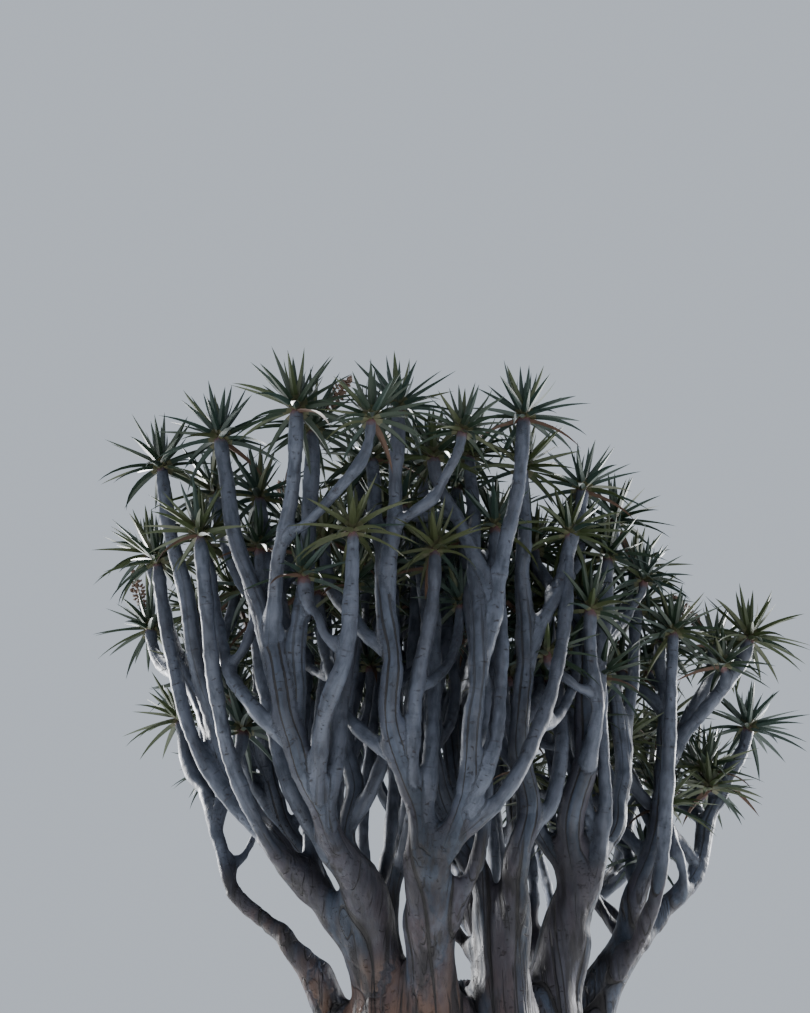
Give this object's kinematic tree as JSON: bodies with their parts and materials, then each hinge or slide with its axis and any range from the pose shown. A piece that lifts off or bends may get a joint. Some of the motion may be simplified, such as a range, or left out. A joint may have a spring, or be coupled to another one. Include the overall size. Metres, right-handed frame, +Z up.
{
  "type": "kokerboom tree",
  "caption": "Whole quiver tree: a stout fluted trunk dividing into a fan of smooth upright limbs that fork and end in rosettes of stiff narrow leaves.",
  "frame": {"origin": "centre of the flat cut under the trunk, at ground level", "axes": "+Z up, -Y towards the side seen in the picture, +X to its right"},
  "size_m": [4.1298, 3.6272, 5.1335],
  "materials": {
    "trunk_bark": "rough flaking bark in ochre plates with grey between",
    "limb_bark": "smooth lilac grey bark with fine cracks and dark marks",
    "foliage": "waxy blue green leaves, satin"
  },
  "bodies": {
    "root": {"trunk": "trunk_bark", "bough_outer_left": "limb_bark", "bough_left": "limb_bark", "bough_front_left": "limb_bark", "bough_mid_left": "limb_bark", "bough_front": "limb_bark", "bough_front_right": "limb_bark", "bough_middle": "limb_bark", "bough_right_front": "limb_bark", "bough_right": "limb_bark", "bough_right_low": "limb_bark", "bough_far_right": "limb_bark", "bough_outer_right": "limb_bark", "bough_outer_right_back": "limb_bark", "bough_back_right": "limb_bark", "bough_back": "limb_bark", "bough_back_left": "limb_bark", "bough_left_back": "limb_bark", "bough_centre_back": "limb_bark", "bough_centre": "limb_bark", "foliage_outer_left_1": "foliage", "foliage_left_1": "foliage", "foliage_left_2": "foliage", "foliage_left_3": "foliage", "foliage_front_left_1": "foliage", "foliage_front_left_2": "foliage", "foliage_front_left_3": "foliage", "foliage_mid_left_1": "foliage", "foliage_mid_left_2": "foliage", "foliage_front_1": "foliage", "foliage_front_2": "foliage", "foliage_front_right_1": "foliage", "foliage_front_right_2": "foliage", "foliage_middle_1": "foliage", "foliage_middle_2": "foliage", "foliage_right_front_1": "foliage", "foliage_right_front_2": "foliage", "foliage_right_1": "foliage", "foliage_right_2": "foliage", "foliage_right_low_1": "foliage", "foliage_right_low_2": "foliage", "foliage_far_right_1": "foliage", "foliage_far_right_2": "foliage", "foliage_outer_right_1": "foliage", "foliage_outer_right_2": "foliage", "foliage_outer_right_back_1": "foliage", "foliage_outer_right_back_2": "foliage", "foliage_back_right_1": "foliage", "foliage_back_right_2": "foliage", "foliage_back_1": "foliage", "foliage_back_2": "foliage", "foliage_back_left_1": "foliage", "foliage_back_left_2": "foliage", "foliage_back_left_3": "foliage", "foliage_left_back_1": "foliage", "foliage_left_back_2": "foliage", "foliage_centre_back_1": "foliage", "foliage_centre_back_2": "foliage", "foliage_centre_1": "foliage", "foliage_centre_2": "foliage"}
  },
  "joints": []
}
